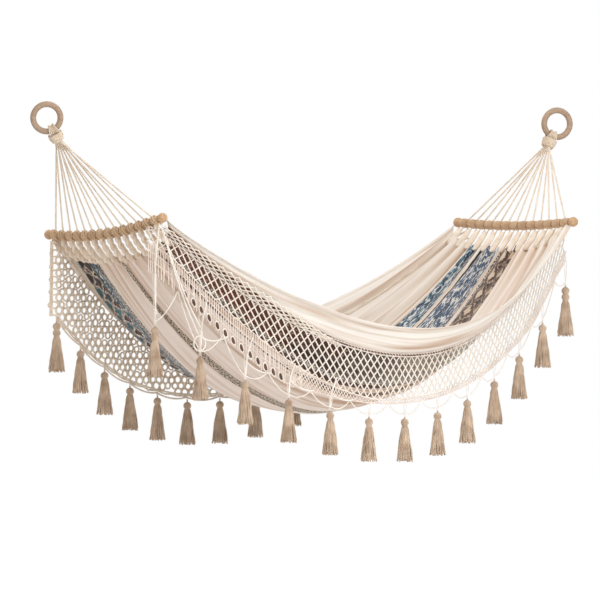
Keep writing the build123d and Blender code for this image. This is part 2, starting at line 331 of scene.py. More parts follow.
# stripes of the bed: middle and half width as shares of the cloth's width from the near edge, and the
# face that shows them; the near ones keep to the lace
bedStripes = [
    {"mid": 0.148, "half": 0.058, "figure": "nearBand", "face": "outer", "near": True},
    {"mid": 0.214, "half": 0.008, "figure": "salt", "face": "outer", "near": True},
    # painted shadow: a dark red-brown line where the cloth creases below the net
    {"mid": 0.230, "half": 0.008, "figure": "crease", "face": "outer", "near": True},
    # painted shade: a row of dark ovals standing in for the shade seen through oval holes
    {"mid": 0.272, "half": 0.009, "figure": "ovals", "face": "outer", "near": True},
    {"mid": 0.505, "half": 0.020, "figure": "speckle", "face": "outer"},
    {"mid": 0.426, "half": 0.059, "figure": "lattice", "face": "inner"},
    {"mid": 0.490, "half": 0.004, "figure": "salt", "face": "inner"},
    {"mid": 0.815, "half": 0.052, "figure": "motif", "face": "outer"},
    {"mid": 0.742, "half": 0.022, "figure": "blues", "face": "outer"},
    {"mid": 0.706, "half": 0.014, "figure": "salt", "face": "outer"},
    {"mid": 0.572, "half": 0.066, "figure": "marble", "face": "inner"},
    {"mid": 0.882, "half": 0.016, "figure": "frost", "face": "outer"},
    {"mid": 0.646, "half": 0.005, "figure": "black", "face": "inner"},
    {"mid": 0.700, "half": 0.036, "figure": "blues", "face": "inner"},
]
clothSize = {"width": 1.56, "length": 2.05, "thickness": 0.0026, "rib": 0.003}


def diamondField(tree, runs, cell, clouds, torn):
    # 0 at the middle of a diamond, 0.5 on its outline; cell is half its width and length in metres, torn is
    # how far the dye strays
    halves = [calc(tree, "MULTIPLY", calc(tree, "PINGPONG", runs[axis], size), 1 / size)
              for axis, size in zip("XY", cell)]
    both = calc(tree, "ADD", calc(tree, "ADD", *halves), remap(tree, clouds, -torn, torn))
    return calc(tree, "MULTIPLY", both, 0.5)


def wovenBedCotton():
    # hand-loom cotton, plain cream with dyed warp stripes: matt; the 1.2 mm thread rib is drawn 3 mm wide to show;
    # the crease and ovals stripes are painted shade, not dye
    finish, tree, place = startFinish("handLoomCotton")
    uv = addNode(tree, "ShaderNodeUVMap", uv_map="cloth").outputs["UV"]
    metres = calcVector(tree, "MULTIPLY", uv, (clothSize["width"], clothSize["length"], 0))
    shares = addNode(tree, "ShaderNodeSeparateXYZ", {"Vector": uv}).outputs
    runs = addNode(tree, "ShaderNodeSeparateXYZ", {"Vector": metres}).outputs
    across = calc(tree, "ADD", shares["X"], remap(tree, noise(tree, metres, 28.0), -0.0035, 0.0035))
    # the near stripes lie nearer the edge towards both ends, where the lace is sewn closer to it
    acrossNear = calc(tree, "ADD", across, remap(tree, shares["Y"], 0.052, 0.0, 0.0, 0.42))
    acrossNear = calc(tree, "ADD", acrossNear, remap(tree, shares["Y"], 0.0, 0.03, 0.6))
    # the other outer stripes start a little further out at the left bar and lie further in past it
    acrossOuter = calc(tree, "ADD", across, remap(tree, shares["Y"], -0.010, 0.045, 0.0, 0.36))
    inside = addNode(tree, "ShaderNodeAttribute", attribute_name="inside").outputs["Fac"]
    outside = calc(tree, "SUBTRACT", 1.0, inside)
    specks = noise(tree, metres, 150.0)
    clouds = noise(tree, calcVector(tree, "MULTIPLY", metres, (1.0, 0.62, 1.0)), 62.0, 3.0, 1.2)
    diamond = diamondField(tree, runs, (0.015, 0.018), clouds, 0.5)
    # where along the bed, with a wavering change of dye
    runShare = calc(tree, "ADD", shares["Y"], remap(tree, noise(tree, metres, 5.0), -0.16, 0.16))
    bandDye = ramp(tree, runShare, (0.05, "#74391e"), (0.26, "#5c2c18"), (0.38, "#33221c"), (0.50, "#4d423b"),
                   (0.66, "#7d7364"), (0.80, "#75899a"), (0.95, "#90a5b2"))
    bandPale = ramp(tree, runShare, (0.05, "#cdb79f"), (0.38, "#9a8b80"), (0.60, "#c9c0b3"), (0.80, "#ccd3d3"))
    marbleDye = ramp(tree, runShare, (0.05, "#3a241b"), (0.16, "#2d3644"), (0.30, "#3f6a7c"), (0.42, "#4b2f1d"),
                     (0.60, "#41617e"), (0.80, "#526c88"))
    marbleDye = blend(tree, 1.0, marbleDye, ramp(tree, specks, (0.44, "#ffffff"), (0.50, "#8d93b0")), "MULTIPLY")
    fewCells = ramp(tree, diamond, (0.80, "#000000"), (0.90, "#ffffff"))
    speckle = ramp(tree, specks, (0.47, "#000000"), (0.53, "#ffffff"))
    # towards the right the dark band breaks up into pale specks
    paler = calc(tree, "MULTIPLY", remap(tree, runShare, 0.0, 1.0, 0.38, 0.7), speckle)
    bandMix = calc(tree, "MAXIMUM", fewCells, paler)
    # the bold motif: diamonds 92 mm wide and 76 mm long with pale outlines and dark hearts
    wide = diamondField(tree, runs, (0.046, 0.038), clouds, 0.7)
    motifTone = ramp(tree, wide, (0.10, "#8a4c33"), (0.17, "#1d1718"), (0.34, "#2b2223"), (0.38, "#efe3d6"),
                     (0.45, "#efe3d6"), (0.49, "#3a2a26"), (0.62, "#ffffff"))
    motifGround = ramp(tree, runShare, (0.02, "#33282a"), (0.08, "#3a2b28"), (0.13, "#3f7584"),
                       (0.20, "#2c4a57"), (0.26, "#4a2f26"), (0.50, "#33282a"), (0.75, "#3b4a5e"))
    ownGround = ramp(tree, wide, (0.56, "#000000"), (0.60, "#ffffff"))
    veins = ramp(tree, clouds, (0.52, "#000000"), (0.57, "#ffffff"))
    # painted shade of the oval holes: dark ovals along the run, with narrow cream gaps
    ovalHoleShade = calc(tree, "COMPARE", calc(tree, "PINGPONG", runs["Y"], 0.012), 0.0066, 0.0050)
    figures = {
        "nearBand": blend(tree, bandMix, bandDye, bandPale),
        "salt": blend(tree, speckle, "#2b2728", "#d9d3cc"),
        "ovals": blend(tree, ovalHoleShade, "#ead9c8", "#4a3228"),
        "lattice": ramp(tree, wide, (0.20, "#3b271e"), (0.30, "#5a3d2f"), (0.35, "#d2bfa8"), (0.41, "#4b3226"),
                        (0.64, "#4b3226"), (0.70, "#cdb9a2")),
        "speckle": blend(tree, speckle, "#4b3d33", "#d3c5b4"),
        "frost": blend(tree, speckle, "#56616e", "#d2d6da"),
        "motif": blend(tree, ownGround, motifTone, motifGround),
        # painted crease shadow
        "crease": "#4a2419",
        "black": "#26242a",
        "marble": blend(tree, veins, marbleDye, "#dcdedc"),
        "blues": ramp(tree, clouds, (0.36, "#1f2434"), (0.44, "#33414f"), (0.49, "#4c7383"), (0.54, "#5a7898"),
                      (0.58, "#cfd0cc")),
    }
    # plain cream; the two narrow tan lines near the near edge are painted shade of the hem's folds
    plain = ramp(tree, shares["X"], (0.0, "#efe9e2"), (0.010, "#efe9e2"), (0.014, "#d8c8b6"),
                 (0.018, "#efe9e2"), (0.032, "#efe9e2"), (0.036, "#dccebd"), (0.040, "#efe9e2"),
                 (0.19, "#ece2d8"), (0.215, "#ecddd2"), (0.30, "#eaddd2"), (0.40, "#e6dbd0"), (0.9, "#e4dbd1"),
                 (1.0, "#ebe4dc"))
    # painted shade: the middle of the underside is coloured a warmer tan-pink, standing in for the warm shade under
    # the belly
    under = ramp(tree, shares["X"], (0.16, "#000000"), (0.40, "#ffffff"), (0.62, "#ffffff"), (0.80, "#000000"))
    under = calc(tree, "MULTIPLY", under, outside)
    colour = blend(tree, under, plain, "#efe1d8")
    for stripe in bedStripes:
        place = acrossNear if stripe.get("near") else across if stripe["face"] == "inner" else acrossOuter
        mask = calc(tree, "COMPARE", place, stripe["mid"], stripe["half"])
        mask = calc(tree, "MULTIPLY", mask, inside if stripe["face"] == "inner" else outside)
        colour = blend(tree, mask, colour, figures[stripe["figure"]])
    # painted shade: the hollows of the folds are darkened with a warm tan
    fold = addNode(tree, "ShaderNodeAttribute", attribute_name="fold").outputs["Fac"]
    shaded = blend(tree, remap(tree, fold, 0.0, 0.6), colour, "#c9a982", "MULTIPLY")
    # painted shade: long soft streaks from bar to bar, about 40 mm wide, darkened warm like the hollows of folds
    streakShade = noise(tree, calcVector(tree, "MULTIPLY", metres, (24.0, 1.3, 1.0)), 1.0)
    shaded = blend(tree, remap(tree, streakShade, 0.0, 0.80, 0.47, 0.68), shaded, "#c4a284", "MULTIPLY")
    waves = [calc(tree, "SINE", calc(tree, "MULTIPLY", runs[axis], tau / clothSize["rib"])) for axis in "XY"]
    weave = calc(tree, "MULTIPLY", *waves)
    endFinish(tree, shaded, weave, (0.3, 0.0006), 0.93, 0.2)
    return finish


finishes = {
    "ringWood": turnedWood("turnedBeech", "#a88f79", "#9a8069", (30, 30, 120)),
    "barWood": turnedWood("turnedPine", "#c9a47e", "#a98260", (260, 22, 260)),
    "lashingCord": cottonYarn("whippedCottonCord", "#e0d0bd", "#c3ad94"),
    "clewCord": cottonYarn("twistedCottonCord", "#eadccb", "#d3c1ac"),
    "hitchCord": cottonYarn("knottedCottonCord", "#d9bd9c", "#bb9875"),
    "loopCotton": cottonYarn("twistedWarpCotton", "#eee1d2", "#cdb69e"),
    "whiteString": cottonYarn("bleachedCottonString", "#f4efe9", "#e2d8cd"),
    "netLace": cottonYarn("ivoryNetCotton", "#f1e9df", "#dfd2c4"),
    "borderLace": cottonYarn("ivoryCrochetCotton", "#efe3da", "#dbcabd"),
    "darkStitch": cottonYarn("brownStitchCotton", "#6b4a38", "#3f2a20"),
    "farLace": cottonYarn("tanCrochetCotton", "#e6d9c9", "#c6b29a"),
    "tassel": cottonYarn("tasselCotton", "#d3bca5", "#9d8269"),
    "bed": wovenBedCotton(),
}
print("finishes made")


# node trees for what repeats
def startTree(name, inputs):
    tree = bpy.data.node_groups.new(name, "GeometryNodeTree")
    kinds = {"geometry": "NodeSocketGeometry", "int": "NodeSocketInt", "float": "NodeSocketFloat",
             "material": "NodeSocketMaterial", "object": "NodeSocketObject"}
    for label, kind in inputs:
        tree.interface.new_socket(name=label, in_out="INPUT", socket_type=kinds[kind])
    tree.interface.new_socket(name="Geometry", in_out="OUTPUT", socket_type="NodeSocketGeometry")
    return tree, addNode(tree, "NodeGroupInput").outputs


def endTree(tree, geometry, material):
    real = addNode(tree, "GeometryNodeRealizeInstances", {0: geometry})
    smooth = addNode(tree, "GeometryNodeSetShadeSmooth", {0: real})
    painted = addNode(tree, "GeometryNodeSetMaterial", {"Geometry": smooth, "Material": material})
    addNode(tree, "NodeGroupOutput", {0: painted})


def makeLayTree():
    # strands twisted round every path: a laid cord
    tree, given = startTree("layCord", [
        ("Paths", "geometry"), ("Strands", "int"), ("Strand radius", "float"), ("Lay radius", "float"),
        ("Pitch", "float"), ("Step", "float"), ("Sides", "int"), ("Material", "material")])
    curve = addNode(tree, "GeometryNodeMeshToCurve", {0: given["Paths"]})
    even = addNode(tree, "GeometryNodeResampleCurve", {"Curve": curve, "Length": given["Step"]}, mode="LENGTH")
    many = addNode(tree, "GeometryNodeDuplicateElements", {"Geometry": even, "Amount": given["Strands"]},
                   domain="SPLINE")
    length = addNode(tree, "GeometryNodeSplineParameter").outputs["Length"]
    turns = calc(tree, "DIVIDE", length, given["Pitch"])
    share = calc(tree, "DIVIDE", many.outputs["Duplicate Index"], given["Strands"])
    angle = calc(tree, "MULTIPLY", calc(tree, "ADD", turns, share), tau)
    normal = addNode(tree, "GeometryNodeInputNormal").outputs[0]
    tangent = addNode(tree, "GeometryNodeInputTangent").outputs[0]
    side = calcVector(tree, "CROSS_PRODUCT", tangent, normal)
    parts = []
    for axis, wave in ((normal, "COSINE"), (side, "SINE")):
        size = calc(tree, "MULTIPLY", calc(tree, wave, angle), given["Lay radius"])
        parts.append(addNode(tree, "ShaderNodeVectorMath", {0: axis, "Scale": size}, operation="SCALE").outputs[0])
    offset = calcVector(tree, "ADD", parts[0], parts[1])
    moved = addNode(tree, "GeometryNodeSetPosition", {"Geometry": many.outputs["Geometry"], "Offset": offset})
    ring = addNode(tree, "GeometryNodeCurvePrimitiveCircle", {"Resolution": given["Sides"],
                                                              "Radius": given["Strand radius"]})
    tube = addNode(tree, "GeometryNodeCurveToMesh", {"Curve": moved, "Profile Curve": ring, "Fill Caps": True})
    endTree(tree, tube, given["Material"])
    return tree


def makeNetTree():
    # threads along every edge of a net, with a knot where they meet
    tree, given = startTree("knotNet", [
        ("Net", "geometry"), ("Thread radius", "float"), ("Knot radius", "float"), ("Sides", "int"),
        ("Material", "material")])
    curve = addNode(tree, "GeometryNodeMeshToCurve", {0: given["Net"]})
    ring = addNode(tree, "GeometryNodeCurvePrimitiveCircle", {"Resolution": given["Sides"],
                                                              "Radius": given["Thread radius"]})
    tube = addNode(tree, "GeometryNodeCurveToMesh", {"Curve": curve, "Profile Curve": ring, "Fill Caps": True})
    knot = addNode(tree, "GeometryNodeMeshIcoSphere", {"Radius": given["Knot radius"], "Subdivisions": 1})
    knots = addNode(tree, "GeometryNodeInstanceOnPoints", {"Points": given["Net"], "Instance": knot})
    both = addNode(tree, "GeometryNodeJoinGeometry")
    tree.links.new(tube.outputs[0], both.inputs[0])
    tree.links.new(knots.outputs[0], both.inputs[0])
    endTree(tree, both, given["Material"])
    return tree


def makeScatterTree():
    # copies of one small piece at points, turned to each point's facing and run
    tree, given = startTree("placeOnPoints",
                            [("Points", "geometry"), ("Piece", "object"), ("Material", "material")])
    facing, run, size = (
        addNode(tree, "GeometryNodeInputNamedAttribute", {"Name": label}, data_type="FLOAT_VECTOR")
        for label in ("facing", "run", "size"))
    first = addNode(tree, "FunctionNodeAlignRotationToVector", {"Vector": facing}, axis="Z")
    second = addNode(tree, "FunctionNodeAlignRotationToVector", {"Rotation": first,
                                                                 "Vector": run}, axis="X", pivot_axis="Z")
    piece = addNode(tree, "GeometryNodeObjectInfo", {"Object": given["Piece"]})
    placed = addNode(tree, "GeometryNodeInstanceOnPoints", {
        "Points": given["Points"], "Instance": piece.outputs["Geometry"], "Rotation": second,
        "Scale": size})
    endTree(tree, placed, given["Material"])
    return tree


layTree, netTree, scatterTree = makeLayTree(), makeNetTree(), makeScatterTree()


def meshObject(name, points, edges=(), faces=()):
    mesh = bpy.data.meshes.new(name)
    mesh.from_pydata([tuple(map(float, p)) for p in points], list(edges), [tuple(map(int, f)) for f in faces])
    return placeObject(name, mesh)


def ringShape(major, minor, around=12, tube=5):
    points, faces = [], []
    for a in range(around):
        for b in range(tube):
            reach = major + minor * math.cos(tau * b / tube)
            points.append((reach * math.cos(tau * a / around), reach * math.sin(tau * a / around),
                           minor * math.sin(tau * b / tube)))
    for a in range(around):
        for b in range(tube):
            c, d = (a + 1) % around, (b + 1) % tube
            faces.append((a * tube + b, c * tube + b, c * tube + d, a * tube + d))
    return points, (), faces


def barrelFaces(rows, around):
    # quads between rings of points, and a cap at each end
    faces = []
    for r in range(rows):
        for a in range(around):
            b = (a + 1) % around
            faces.append((r * around + a, (r + 1) * around + a, (r + 1) * around + b, r * around + b))
    return faces + [tuple(range(around)), tuple(rows * around + a for a in range(around - 1, -1, -1))]


def pillowShape(rows=14, around=20):
    # a small rounded pad, 1 across each half, gathered at both ends
    points = []
    for r in range(rows + 1):
        share = r / rows
        x = -math.cos(math.pi * share)
        plump = math.sin(math.pi * share) ** 0.6
        for a in range(around):
            angle = tau * a / around
            crease = 1 - 0.08 * math.cos(5 * angle) * (1 - plump)
            points.append((x, (0.12 + 0.88 * plump) * math.cos(angle) * crease,
                           (0.12 + 0.88 * plump) * math.sin(angle) * crease))
    return points, (), barrelFaces(rows, around)


def bakeDown(obj):
    # the evaluated shape becomes the object's own plain mesh
    bpy.context.view_layer.update()
    graph = bpy.context.evaluated_depsgraph_get()
    made = bpy.data.meshes.new_from_object(obj.evaluated_get(graph), preserve_all_data_layers=True,
                                           depsgraph=graph)
    obj.modifiers.clear()
    old = obj.data
    obj.data = made
    bpy.data.meshes.remove(old)
    made.name = obj.name
    return obj


def growTree(obj, tree, values):
    modifier = obj.modifiers.new(tree.name, "NODES")
    modifier.node_group = tree
    for item in tree.interface.items_tree:
        if item.item_type == "SOCKET" and item.in_out == "INPUT" and item.name in values:
            modifier[item.identifier] = values[item.name]
    return bakeDown(obj)


def laidCord(name, paths, finish, diameter, strands=2, pitch=0.02, step=0.004, sides=6):
    # paths are lists of points; each becomes a cord of that many strands
    points, edges = [], []
    for route in paths:
        first = len(points)
        points += list(route)
        edges += [(first + i, first + i + 1) for i in range(len(route) - 1)]
    strand = diameter * {1: 0.5, 2: 0.29, 3: 0.27}[strands]
    lay = diameter / 2 - strand if strands > 1 else 0.0
    return growTree(meshObject(name, points, edges), layTree, {
        "Strands": strands, "Strand radius": strand, "Lay radius": lay, "Pitch": pitch, "Step": step,
        "Sides": sides, "Material": finishes[finish]})


def addAttribute(mesh, name, kind, domain, field, values):
    attribute = mesh.attributes.new(name, kind, domain)
    attribute.data.foreach_set(field, np.ascontiguousarray(values, dtype=np.float32).ravel())


def scatterOn(name, places, facings, runs, sizes, unit, finish):
    # a copy of the unit at every place; the unit itself goes
    spots = meshObject(name, places)
    for label, rows in (("facing", facings), ("run", runs), ("size", sizes)):
        rows = np.broadcast_to(np.asarray(rows, dtype=np.float32), (len(places), 3))
        addAttribute(spots.data, label, "FLOAT_VECTOR", "POINT", "vector", rows)
    growTree(spots, scatterTree, {"Piece": unit, "Material": finishes[finish]})
    bpy.data.objects.remove(unit, do_unlink=True)
    return spots


def splineRoute(points):
    # the smooth line that a cord takes through its points
    curve = bpy.data.curves.new("route", "CURVE")
    curve.dimensions = "3D"
    spline = curve.splines.new("NURBS")
    spline.points.add(len(points) - 1)
    for place, point in zip(spline.points, points):
        place.co = (*point, 1)
    spline.order_u = 3
    spline.use_endpoint_u = True
    spline.resolution_u = 12
    holder = placeObject("route", curve)
    bpy.context.view_layer.update()
    mesh = bpy.data.meshes.new_from_object(holder.evaluated_get(bpy.context.evaluated_depsgraph_get()))
    route = [vertex.co.copy() for vertex in mesh.vertices]
    bpy.data.objects.remove(holder, do_unlink=True)
    bpy.data.curves.remove(curve)
    bpy.data.meshes.remove(mesh)
    return route


def joinPieces(name, pieces):
    # one mesh from several, with the finishes each had
    joined = bmesh.new()
    mesh = bpy.data.meshes.new(name)
    slots = []
    for piece in pieces:
        source = piece.data
        indexes = []
        for material in source.materials:
            if material not in slots:
                slots.append(material)
            indexes.append(slots.index(material))
        before = len(joined.faces)
        joined.from_mesh(source)
        joined.faces.ensure_lookup_table()
        for face in joined.faces[before:]:
            face.material_index = indexes[face.material_index] if indexes else 0
    joined.to_mesh(mesh)
    joined.free()
    for material in slots:
        mesh.materials.append(material)
    for piece in pieces:
        bpy.data.objects.remove(piece, do_unlink=True)
    return placeObject(name, mesh)


def settle(obj, slot, *nodes, body="hammock"):
    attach(obj, body)
    if nodes:
        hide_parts(*nodes)
    print("  ", obj.name, len(obj.data.polygons), "faces")
    return obj


# wood: the frame's rings, bars and balls keep their shapes
for end in ("left", "right"):
    for node, finish in (("ring_", "ringWood"), ("spreader_bar_", "barWood"), ("bar_balls_", "barWood")):
        for materialSlot in frame["nodes"][node + end].material_slots:
            materialSlot.material = finishes[finish]

# lashings
ring = {"radius": 0.04875, "tube": 0.0215}
ringPlace = {"left": (Vector((0, 0, 0)), 33), "right": (Vector((2.190, 0, -0.012)), 16)}
barX = {"left": hung["leftBar"], "right": hung["rightBar"]}
lashing = {"start": 0.0135, "length": 0.034, "radius": 0.0282, "cord": 0.0047, "throat": 0.0050,
           "eyeCord": 0.0056, "eyeTurns": 6, "eyePitch": 0.0056 * 0.94, "eyeGap": 0.0018, "eyeFlare": 0.30}


def barMiddle(end, y):
    return Vector((barX[end], y, float(barHeight(end, y))))


def ringFrame(end):
    # a ring's centre and the axis it is turned about
    centre, turnedBy = ringPlace[end]
    return centre, Vector((math.sin(math.radians(turnedBy)), math.cos(math.radians(turnedBy)), 0))


def lashingFrame(end):
    centre, axis = ringFrame(end)
    middle = barMiddle(end, 0)
    pull = (middle - centre).normalized()
    out = (pull - axis * pull.dot(axis)).normalized()
    point = centre + out * ring["radius"]
    return point, axis.cross(out).normalized(), (middle - point).normalized()


def woundLashing(end):
    point, tube, pull = lashingFrame(end)
    third = tube.cross(pull).normalized()
    side = third.cross(pull).normalized()
    cord = lashing["cord"]
    wraps, crossed, eyes = [], [], []
    barrel = lashing["radius"] - cord / 2 - 0.0005
    height = lashing["length"] - cord
    bottom = lashing["start"] + cord / 2 - 0.0005

    def flare(along):
        # a cup: wide at the ring and drawn in where the cords leave it
        share = (along - bottom) / height
        return barrel - 0.0005 - lashing["throat"] * max(share, 0) ** 2

    def ringPoint(angle, reach, along):
        return point + pull * along + (side * math.cos(angle) + third * math.sin(angle)) * reach

    turnsRound = int(height / cord) + 1
    total = 28 * turnsRound
    wraps.append([ringPoint(a * tau / 28, flare(bottom + height * a / total), bottom + height * a / total)
                  for a in range(total + 1)])
    for lift in range(4 if end == "left" else 1):  # riding turns cross over the first ones
        for hand in (1, -1):
            crossed.append([ringPoint(hand * (0.4 + a / 24 * 2.0) + lift * tau / 4,
                                      flare(bottom + height * 0.8 * a / 24) + 0.0016,
                                      bottom + height * 0.8 * a / 24)
                            for a in range(25)])
    # turns that go round the ring's tube, side by side along it, looser at the outside
    centre, axis = ringFrame(end)
    out = (point - centre).normalized()
    for i in range(lashing["eyeTurns"]):
        shift = (i - (lashing["eyeTurns"] - 1) / 2) * lashing["eyePitch"]
        around = shift / ring["radius"]
        spoke = out * math.cos(around) + tube * math.sin(around)
        reach = ring["tube"] / 2 + lashing["eyeGap"] + lashing["eyeFlare"] * abs(shift) + lashing["eyeCord"] / 2
        base = centre + spoke * ring["radius"]
        eyes.append([base + (spoke * math.cos(tau * a / 30) + axis * math.sin(tau * a / 30)) * reach
                     for a in range(31)])
    wound = laidCord("lashingWraps", wraps, "lashingCord", cord * 1.06, strands=1, step=0.003, sides=8)
    over = laidCord("lashingOver", crossed, "lashingCord", cord * 0.9, strands=1, step=0.003, sides=8)
    eyed = laidCord("lashingEyes", eyes, "lashingCord", lashing["eyeCord"], strands=1, step=0.003, sides=8)
    # the bundle of cords inside
    profile = [(0.0, bottom - 0.001), (barrel - 0.004, bottom - 0.001), (barrel - 0.0015, bottom + 0.003),
               (barrel - 0.0015, bottom + height - 0.003), (barrel - 0.004, bottom + height + 0.001),
               (0.0, bottom + height + 0.001)]
    points = []
    for reach, along in profile:
        inner = max(reach - (barrel - flare(along)), 0.0002) if reach > 0 else 0.0002
        points += [ringPoint(a * tau / 32, inner, along) for a in range(32)]
    core = meshObject("lashingCore", points, (), barrelFaces(len(profile) - 1, 32))
    fixed = bmesh.new()
    fixed.from_mesh(core.data)
    bmesh.ops.recalc_face_normals(fixed, faces=fixed.faces)
    fixed.to_mesh(core.data)
    fixed.free()
    core.data.materials.append(finishes["lashingCord"])
    return settle(joinPieces("lashing" + end.capitalize(), [wound, over, eyed, core]), "lashing_cord",
                  "lashing_" + end)


for end in ("left", "right"):
    woundLashing(end)
print("lashings wound")

# clew cords
clew = {"left": 14, "right": 13, "diameter": 0.0068, "topPitch": 0.0060, "rowsApart": 0.006, "pitch": 0.018}
# the length of bar between its balls, less a little play
hitchRoom = 0.754 - 0.036 - 0.0006


def hitchYs(end):
    pitch = hitchRoom / clew[end]
    return [(i - (clew[end] - 1) / 2) * pitch for i in range(clew[end])]


def clewRoutes(end):
    point, _, pull = lashingFrame(end)
    thickness = pull.cross(Vector((0, 1, 0))).normalized()
    across = thickness.cross(pull)
    mouth = point + pull * (lashing["start"] + lashing["length"] + 0.0003)
    routes = []
    for i, y in enumerate(hitchYs(end)):
        row = clew["rowsApart"] / 2 * (1 if i % 2 else -1)
        place = (i - (clew[end] - 1) / 2) * clew["topPitch"] / 2
        top = mouth + across * place + thickness * row
        seat = barMiddle(end, y)
        way = (seat - top).normalized()
        routes.append((top - way * 0.004, seat - way * 0.0145))
    return routes


for end in ("left", "right"):
    for i, (top, foot) in enumerate(clewRoutes(end)):
        route = splineRoute([top, top.lerp(foot, 0.5) + Vector((0, 0, -0.0015)), foot])
        cordObj = laidCord(f"clewCord{end.capitalize()}{i + 1:02d}", [route], "clewCord", clew["diameter"],
                           strands=3, pitch=clew["pitch"])
        settle(cordObj, "clew_cord", "clew_cords_" + end)
print("clews strung")

# hitches wound round the bars
hitch = {"barRadius": 0.011, "cord": 0.0048, "turns": 7, "slant": 0.0045, "bulge": 0.0022, "riding": 0.0075}


def barFrame(end, y):
    slope = float(barHeight(end, y + 0.0005) - barHeight(end, y - 0.0005)) / 0.001
    return barMiddle(end, y), Vector((0, 1, slope)).normalized()


def barHitches(end):
    width = hitchRoom / clew[end] - 0.004
    turnsRoutes, ridingRoutes = [], []
    for y in hitchYs(end):
        middle, along = barFrame(end, y)
        outX = Vector((1, 0, 0))
        outZ = outX.cross(along)
        route = []
        total = 20 * hitch["turns"]
        for a in range(total + 1):
            share = a / total
            angle = tau * a / 20
            bulge = hitch["bulge"] * math.sin(math.pi * share) if end == "right" else 0.0
            reach = hitch["barRadius"] + hitch["cord"] / 2 + 0.0002 + bulge
            run = (share - 0.5) * (width - hitch["cord"]) + hitch["slant"] * math.cos(angle)
            route.append(middle + along * run + (outX * math.cos(angle) + outZ * math.sin(angle)) * reach)
        turnsRoutes.append(route)
        if end == "left":
            for phase in (0.0, 1.0):
                route = []
                for a in range(25):
                    share = a / 24
                    angle = -2.4 + 4.8 * share + phase * math.pi * 0.32
                    run = (share - 0.5) * (width + 0.006)
                    reach = hitch["barRadius"] + hitch["cord"] + hitch["bulge"] * math.sin(math.pi * share) + 0.0005
                    route.append(middle + along * run + (-outX * math.cos(angle) + outZ * math.sin(angle)) * reach)
                ridingRoutes.append(route)
    pieces = [laidCord("hitchTurns", turnsRoutes, "hitchCord", hitch["cord"], pitch=0.012, step=0.0042,
                       sides=5)]
    if ridingRoutes:
        pieces.append(laidCord("hitchRiding", ridingRoutes, "hitchCord", hitch["riding"], pitch=0.017,
                               step=0.0042))
    return settle(joinPieces("barHitches" + end.capitalize(), pieces), "hitch_cord", "bar_hitches_" + end)


for end in ("left", "right"):
    barHitches(end)
print("bars wound")

# loops that join the bed to the bars
endLoop = {"rope": 0.024, "ropePitch": 0.052, "rearRope": 0.015, "rearPitch": 0.034, "tabCord": 0.0045,
           "tabWidth": 0.019, "tabThick": 0.008}


def loopLine(end, y):
    # from the bar's underside down to the first fold of the cloth
    clothX = hung["clothStart"] if end == "left" else hung["clothEnd"]
    way = 1 if end == "left" else -1
    barPoint = barMiddle(end, y)
    clothPoint = Vector((clothX + way * 0.012, y, float(bedHeight(clothX + way * 0.012, y))))
    return barPoint, clothPoint


def twistedLoops():
    front, behind = [], []
    for y in hitchYs("left"):
        barPoint, clothPoint = loopLine("left", y)
        start = barPoint + Vector((0.001, 0.004, -0.014))
        front.append(splineRoute([start, start + Vector((0.008, -0.003, -0.030)),
                                  clothPoint + Vector((-0.014, -0.005, -0.008)), clothPoint]))
        start = barPoint + Vector((0.006, 0.028, -0.010))
        behind.append(splineRoute([start, start + Vector((0.016, 0.0, -0.018)),
                                   clothPoint + Vector((-0.004, 0.024, 0.004)),
                                   clothPoint + Vector((0.01, 0.022, 0))]))
    # the loops behind are real loops; their darker hitch-cord finish is painted shade
    loops = joinPieces("twistedLoops", [
        laidCord("frontLoops", front, "loopCotton", endLoop["rope"], pitch=endLoop["ropePitch"], sides=9),
        laidCord("rearLoops", behind, "hitchCord", endLoop["rearRope"], pitch=endLoop["rearPitch"], sides=7)])
    return settle(loops, "loop_cotton", "end_loops_left")


def puffyTabs():
    # soft tabs between pairs of thin cords
    routes, points, facings, runs, sizes = [], [], [], [], []
    ys = hitchYs("right")
    pitch = ys[1] - ys[0]
    for y in ys:
        barPoint, clothPoint = loopLine("right", y)
        way = (clothPoint - barPoint).normalized()
        for shift in (-0.42, 0.42):
            foot = loopLine("right", y + shift * pitch * 0.9)[1]
            start = barPoint + way * 0.0135 + Vector((0, shift * 0.03, 0.002))
            routes.append([start.lerp(foot, s / 8) for s in range(9)])
        points.append(barPoint.lerp(clothPoint, 0.60))
        facings.append(way.cross(Vector((0, 1, 0))).normalized())
        runs.append(way)
        sizes.append(((clothPoint - barPoint).length * 0.36, endLoop["tabWidth"], endLoop["tabThick"]))
    cords = laidCord("tabCords", routes, "hitchCord", endLoop["tabCord"], pitch=0.014)
    tabs = scatterOn("tabs", points, facings, runs, sizes, meshObject("pillow", *pillowShape()), "loopCotton")
    return settle(joinPieces("endTabsRight", [cords, tabs]), "loop_cotton", "end_loops_right")


twistedLoops()
puffyTabs()
print("end loops made")

# bed cloth
cloth = {"across": 320, "along": 130, "pleats": 14, "pleatDepth": 0.0085, "pleatReach": 0.11, "cornerDraw": 0.048,
         "cornerReach": 0.15, "ripple": 0.0036, "hemLift": 0.012, "seed": 7}
# folds that run from bar to bar: place at the left and right end, width and depth, as shares and metres
longFolds = [(0.31, 0.30, 0.017, 0.010), (0.24, 0.215, 0.013, 0.008), (0.345, 0.345, 0.010, 0.006),
             (0.80, 0.775, 0.016, 0.011), (0.87, 0.845, 0.014, 0.009), (0.93, 0.915, 0.012, 0.009),
             (0.50, 0.495, 0.008, 0.004), (0.655, 0.655, 0.008, 0.004), (0.150, 0.135, 0.012, 0.007)]

# folds that the hems are drawn into: place and width as shares, depth in metres, and how far they wander
hemFolds = [(0.022, 0.008, 0.0055, 0.0), (0.052, 0.007, 0.0045, 0.012), (0.078, 0.006, 0.0035, -0.01),
            (0.975, 0.008, 0.005, 0.0), (0.94, 0.009, 0.004, -0.01), (0.905, 0.008, 0.0035, 0.012)]


